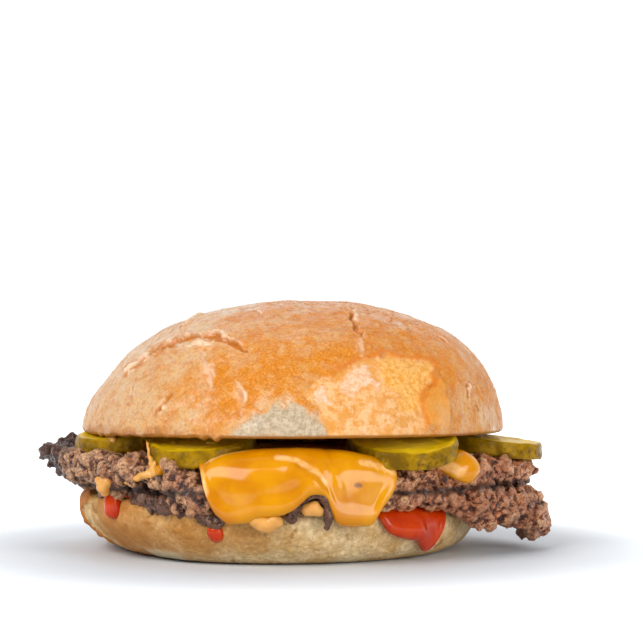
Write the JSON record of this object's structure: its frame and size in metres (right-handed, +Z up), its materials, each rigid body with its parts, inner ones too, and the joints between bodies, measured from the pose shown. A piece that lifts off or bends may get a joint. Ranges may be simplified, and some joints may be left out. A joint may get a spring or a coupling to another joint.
{
  "type": "cheeseburger",
  "caption": "Cheeseburger in a round glazed bun: thin ragged beef patties, melted cheese that drapes over them, pickle slices, ketchup and sauce.",
  "frame": {"origin": "the centre of the heel's flat base, where the burger rests", "axes": "+Z up, +X to the right of the pictured front, which faces -Y"},
  "size_m": [0.1269, 0.1123, 0.063],
  "materials": {
    "bun_crown": "baked golden crust with an egg glaze",
    "bun_heel": "soft pale tan crust, matt",
    "beef": "browned and crisp, moist in the crags",
    "cheese": "melted, smooth and glossy",
    "pickle": "moist, paler flesh inside a dark skin",
    "ketchup": "wet",
    "sauce": "wet, creamy"
  },
  "bodies": {
    "root": {"heel": "bun_heel", "ketchup": "ketchup", "patty_lower": "beef", "cheese_lower": "cheese", "patty_upper": "beef", "cheese_upper": "cheese", "pickle_left": "pickle", "pickle_front_left": "pickle", "pickle_front_right": "pickle", "pickle_right": "pickle", "pickle_middle": "pickle", "pickle_back_right": "pickle", "pickle_back_left": "pickle", "sauce_drip_left": "sauce", "sauce_drip_front": "sauce", "crown": "bun_crown"}
  },
  "joints": []
}
